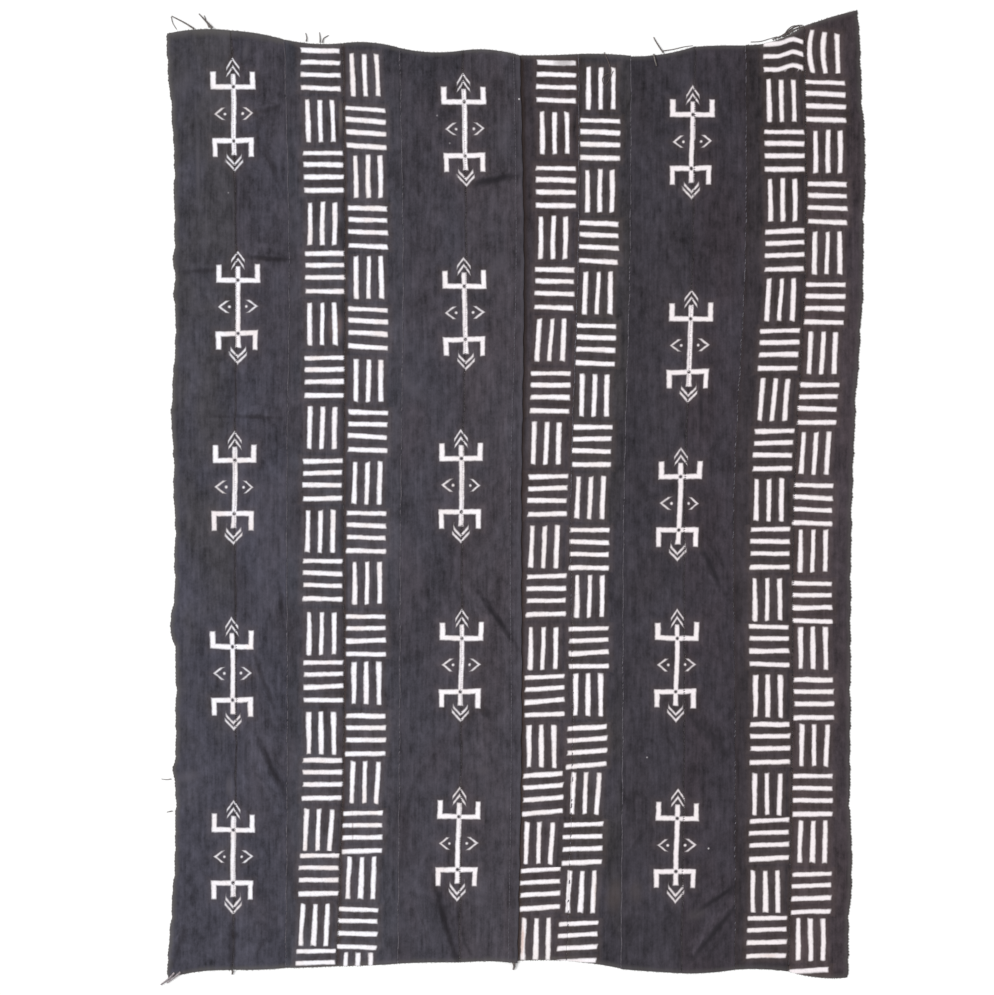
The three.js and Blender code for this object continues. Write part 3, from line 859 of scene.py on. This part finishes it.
def makeThreads(name, runs, sides, material):  # many threads in one mesh, paths in millimetres
    points, faces = [], []
    turns = [2 * math.pi * corner / sides for corner in range(sides)]
    for path, radii in runs:
        path = np.asarray(path, float)
        ahead = np.gradient(path, axis=0)
        ahead /= np.linalg.norm(ahead, axis=1)[:, None]
        beside = np.cross(ahead, (0.0, 0.0, 1.0))
        beside /= np.maximum(np.linalg.norm(beside, axis=1), 1e-6)[:, None]
        over = np.cross(beside, ahead)
        first = len(points)
        for at in range(len(path)):
            for turn in turns:
                outward = math.cos(turn) * beside[at] + math.sin(turn) * over[at]
                points.append(path[at] + radii[at] * outward)
        for at in range(len(path) - 1):
            low = first + at * sides
            for corner in range(sides):
                after = (corner + 1) % sides
                faces.append((low + corner, low + sides + corner, low + sides + after, low + after))
        last = first + (len(path) - 1) * sides
        faces.append(tuple(range(first, first + sides)))
        faces.append(tuple(range(last + sides - 1, last - 1, -1)))
    mesh = bpy.data.meshes.new(name)
    mesh.from_pydata((np.array(points) * mm).tolist(), [], faces)
    mesh.update()
    mesh.materials.append(material)
    threads = bpy.data.objects.new(name, mesh)
    bpy.context.scene.collection.objects.link(threads)
    bpy.ops.object.select_all(action="DESELECT")
    threads.select_set(True)
    bpy.context.view_layer.objects.active = threads
    bpy.ops.object.shade_smooth()
    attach(threads, "root")
    return threads


# sewing: the strips are whipped together edge to edge, and one seam is lapped and sewn through
sewing = {
    "pitch": 3.7,
    "missed": (0.15, 0.15),  # share of the stitches that sank into the cloth, in the upper and lower half
    "hidden": {7: (0.15, 0.85), 10: (0.55, 0.85)},  # the same for seams that lost more of them
    "pale": {"seams": (2, 4, 7, 8, 10), "reach": 0.6, "slant": 3.7, "radius": (0.5, 0.8),
             "colours": ("#726e75", "#4e4a51")},
    "dark": {"seams": (1, 3, 5, 9, 11), "reach": 1.5, "slant": 1.1, "radius": (0.3, 0.45),
             "colours": ("#58545a", "#201d21")},
    "lap": ("#605d64", "#4b484e"),
    "bared": ("#e4dfe2", "#c6bfc3"),  # where a stem is painted over the seam
    "lapLine": (-8, -2.6, -4.2, 5.4, 0),
    "lapStitch": 6.3,
    "lapPitch": 6.8,
    "lapSpan": (-764, 726),
    "lapRadius": (0.55, 0.8),
    "lapArch": (-0.5, 0.05, 0.15, 0.05, -0.5),
    "arch": ((0.25, 0.8), (0.5, 1.0), (0.75, 0.8)),  # share along a stitch, and of its lift there
    "lift": (0.2, 0.45),
    "sunk": 0.3,  # how deep a stitch's ends lie
    "uneven": 0.6,
    "fromEnd": 3,
}


def sewSeam(seam, chance, kind, material, baredMaterial):
    left, right = seam - 1, seam
    low = max(cloth["bottomEnds"][left][2], cloth["bottomEnds"][right][0]) + sewing["fromEnd"]
    high = min(cloth["topEnds"][left][2], cloth["topEnds"][right][0]) - sewing["fromEnd"]
    y = np.arange(low, high, sewing["pitch"])
    y = y + chance.uniform(-sewing["uneven"], sewing["uneven"], len(y))
    starts = onStrip(left, -kind["reach"], y - kind["slant"] / 2)
    stops = onStrip(right, kind["reach"], y + kind["slant"] / 2)
    stems = [place for column in figures["columns"] if column["strips"] == (left, right)
             for place in column["places"]]
    sunk = np.array((0, 0, sewing["sunk"]))
    runs, baredRuns = [], []
    for height, start, stop, lift in zip(y, starts, stops, chance.uniform(*sewing["lift"], len(y))):
        radius = chance.uniform(*kind["radius"])
        if chance.random() < sewing["hidden"].get(seam, sewing["missed"])[int(height < 0)]:
            continue
        path = [start * (1 - share) + stop * share + (0, 0, lift * part) for share, part in sewing["arch"]]
        path = [start - sunk, *path, stop - sunk]
        onStem = False
        for middleY, middleX, lean in stems:
            away = height - middleY
            aside = (start[0] + stop[0]) / 2 - middleX + lean * away / figures["leanReach"]
            onStem = onStem or (abs(aside) < figures["stemHalf"] and abs(away) < figures["stemTop"])
        (baredRuns if onStem else runs).append((path, [radius] * len(path)))
    makeThreads("seam_stitches_%02d" % seam, runs, 4, material)
    if baredRuns:
        makeThreads("painted_stitches_%02d" % seam, baredRuns, 4, baredMaterial)


def sewLap(chance, material):
    index = cloth["lapSeam"] - 1
    rise = np.array([(0, 0, lift) for lift in sewing["lapArch"]])
    runs = []
    for y in np.arange(*sewing["lapSpan"], sewing["lapPitch"]):
        along = y + np.linspace(0, sewing["lapStitch"], len(rise)) + chance.uniform(-0.5, 0.5)
        line = lineAt(sewing["lapLine"], along) - rightEdge(index, along)
        radii = [chance.uniform(*sewing["lapRadius"])] * len(rise)
        runs.append((onStrip(index, line, along) + rise, radii))
    makeThreads("lap_stitches", runs, 4, material)


chance = np.random.default_rng(12)
baredThread = threadMaterial("bared cotton sewing thread", *sewing["bared"])
for look in ("pale", "dark"):
    kind = sewing[look]
    thread = threadMaterial(look + " cotton sewing thread", *kind["colours"])
    for seam in kind["seams"]:
        sewSeam(seam, chance, kind, thread, baredThread)
sewLap(chance, threadMaterial("lap sewing thread", *sewing["lap"]))
print("sewing: 10 whipped seams and 1 lapped seam")

# loose threads: warp ends at the strips' ends, weft loops along the outer selvedges, and a few that trail off
fringe = {
    "stubPitch": 2.2,
    "stubLength": (0.3, 1.7),
    "stubRadius": 0.4,
    "stubRoot": 1.2,  # how far in a stub starts
    "stubSpan": (0.012, 0.99),  # shares across a strip
    "stubBend": (0.7, 0.35),  # height over the fold below, and how far the tip sinks
    "stubTaper": ((0, 1), (0.4, 0.9), (0.75, 0.7), (1, 0.4)),  # shares of its length and radius
    "shaggy": (10, 0.45, 3.2),  # strip whose top end frayed more, from which share on, how much longer
    "loopPitch": 5.2,
    "loopReach": 1.0,
    "loopRadius": 0.5,
    "loopBow": ((0, -0.9), (0.2, 0.55), (0.5, 1.0), (0.8, 0.55), (1.0, -0.9)),  # shares of span and reach
    "loopSunk": 0.4,
    "loopHeight": 0.75,
    "fuzz": ("#6b6561", "#4f4a47"),
    "warp": ("#7a7472", "#57524f"),
    "tail": ("#a39b9e", "#7d7578"),
    "curl": ("#6a5f5c", "#544b49"),
    "clump": ("#625a58", "#403a38"),
    "trails": {  # points from root to tip, radius at both, and the strip below, if it lies on one
        "warp": (
            (((-529, 778), (-545, 788), (-566, 799)), (1.4, 0.8)),
            (((-567, 798), (-564, 787), (-558, 777)), (0.6, 0.5)),
            (((-499, 779), (-509, 790), (-521, 803)), (2.1, 0.7)),
            (((-504, 780), (-508, 789), (-512, 800)), (0.9, 0.6)),
            (((-343, 757), (-342, 763), (-344, 771)), (1.0, 0.6)),
            (((-320, 755), (-320, 763), (-321, 772)), (1.0, 0.6)),
            (((-316, 755), (-314, 762), (-306, 767)), (1.0, 0.6)),
            (((249, 738), (241, 750), (236, 758), (233, 764)), (1.2, 0.8)),
            (((-567, -466), (-575, -467), (-583, -466)), (0.7, 0.4)),
            (((-565, -519), (-570, -520), (-574, -521)), (0.8, 0.5)),
            (((-465, -783), (-465, -786), (-466, -790)), (1.8, 1.0)),
            (((1, -770), (2, -776), (0, -782)), (2.6, 1.2)),
            (((233, 736), (235, 726), (238, 716)), (1.4, 1.1), 8),
            (((247, 741), (266, 744), (283, 748), (298, 750)), (0.8, 0.5)),
            (((394, 756), (410, 757), (424, 761), (438, 765)), (0.7, 0.5)),
        ),
        "tail": (
            (((-561, -787), (-571, -797), (-584, -807)), (1.8, 1.0)),
            (((-551, -786), (-561, -794), (-574, -804)), (1.8, 1.0)),
        ),
        "curl": (
            (((151, 739), (159, 720), (162, 706), (154, 702), (148, 695),
              (150, 686), (154, 685), (162, 699), (166, 708)), (0.6, 0.45), 7),
        ),
        "clump": (
            (((430, 760), (446, 767), (458, 775), (469, 782)), (0.8, 0.5)),
            (((448, 765), (456, 777), (466, 783), (478, 781)), (0.8, 0.5)),
            (((440, 763), (452, 771), (463, 779), (474, 783)), (0.9, 0.6)),
            (((446, 765), (455, 771), (464, 776), (474, 779)), (1.2, 0.8)),
            (((452, 767), (459, 776), (470, 783), (480, 784)), (0.9, 0.7)),
            (((456, 769), (464, 775), (472, 779), (482, 782)), (1.2, 0.9)),
            (((450, 766), (462, 774), (476, 781)), (1.2, 0.8)),
        ),
    },
}


def frayEnds(chance):
    runs = []
    shaggy, start, longer = fringe["shaggy"]
    root, (high, sinks) = fringe["stubRoot"], fringe["stubBend"]
    shares, taper = np.transpose(fringe["stubTaper"])
    for index in range(12):
        for ends, outward in ((cloth["topEnds"][index], 1), (cloth["bottomEnds"][index], -1)):
            for share in np.arange(*fringe["stubSpan"], fringe["stubPitch"] / cloth["typical"][0]):
                y = endAt(ends, share) - outward * root
                x = leftEdge(index, y) + share * widthAt(index, y) + chance.uniform(-0.6, 0.6)
                length = chance.uniform(*fringe["stubLength"])
                frayed = index == shaggy and outward > 0 and share > start
                length = root + length * (longer if frayed else 1.0)
                lean = chance.uniform(-0.5, 0.5)
                base = float(ridges(cloth["folds"], np.array([x]), np.array([y]))[0])
                base += float(lapLift(index, np.array([share]))[0])
                along = length * shares
                path = np.column_stack((x + lean * along, y + outward * along, base + high - sinks * shares))
                runs.append((path, fringe["stubRadius"] * taper))
    return runs


def weftLoops(chance):
    runs = []
    shares, bow = np.transpose(fringe["loopBow"])
    for index, outward, edge in ((0, -1, leftEdge), (11, 1, rightEdge)):
        low, high = cloth["bottomEnds"][index], cloth["topEnds"][index]
        side = 0 if outward < 0 else 2
        for y in np.arange(low[side] + 4, high[side] - 6, fringe["loopPitch"]):
            span = fringe["loopPitch"] * chance.uniform(0.8, 1.15)
            reach = fringe["loopReach"] * chance.uniform(0.4, 1.2)
            heights = y + span * shares
            x = edge(index, heights) + outward * (reach * bow - fringe["loopSunk"])
            base = ridges(cloth["folds"], x, heights) + fringe["loopHeight"]
            runs.append((np.column_stack((x, heights, base)), [fringe["loopRadius"]] * len(x)))
    return runs


fuzzThread = threadMaterial("worn fibre ends", *fringe["fuzz"])
makeThreads("frayed_warp_ends", frayEnds(chance), 4, fuzzThread)
makeThreads("selvedge_weft_loops", weftLoops(chance), 4, fuzzThread)
for look, trails in fringe["trails"].items():
    runs = []
    for points, ends, *over in trails:
        count = 8 * len(points)
        place = np.linspace(0, len(points) - 1, count)
        x, y = (curveAt(values, place) for values in zip(*points))
        radii = np.linspace(*ends, count)
        height = radii
        for index in over:
            height = onStrip(index, x - leftEdge(index, y), y)[:, 2] + radii
        runs.append((np.column_stack((x, y, height)), radii))
    thread = threadMaterial("loose " + look + " thread", *fringe[look])
    makeThreads("trailing_" + look, runs, 6, thread)
print("loose threads:", sum(len(trails) for trails in fringe["trails"].values()), "trailing ends")
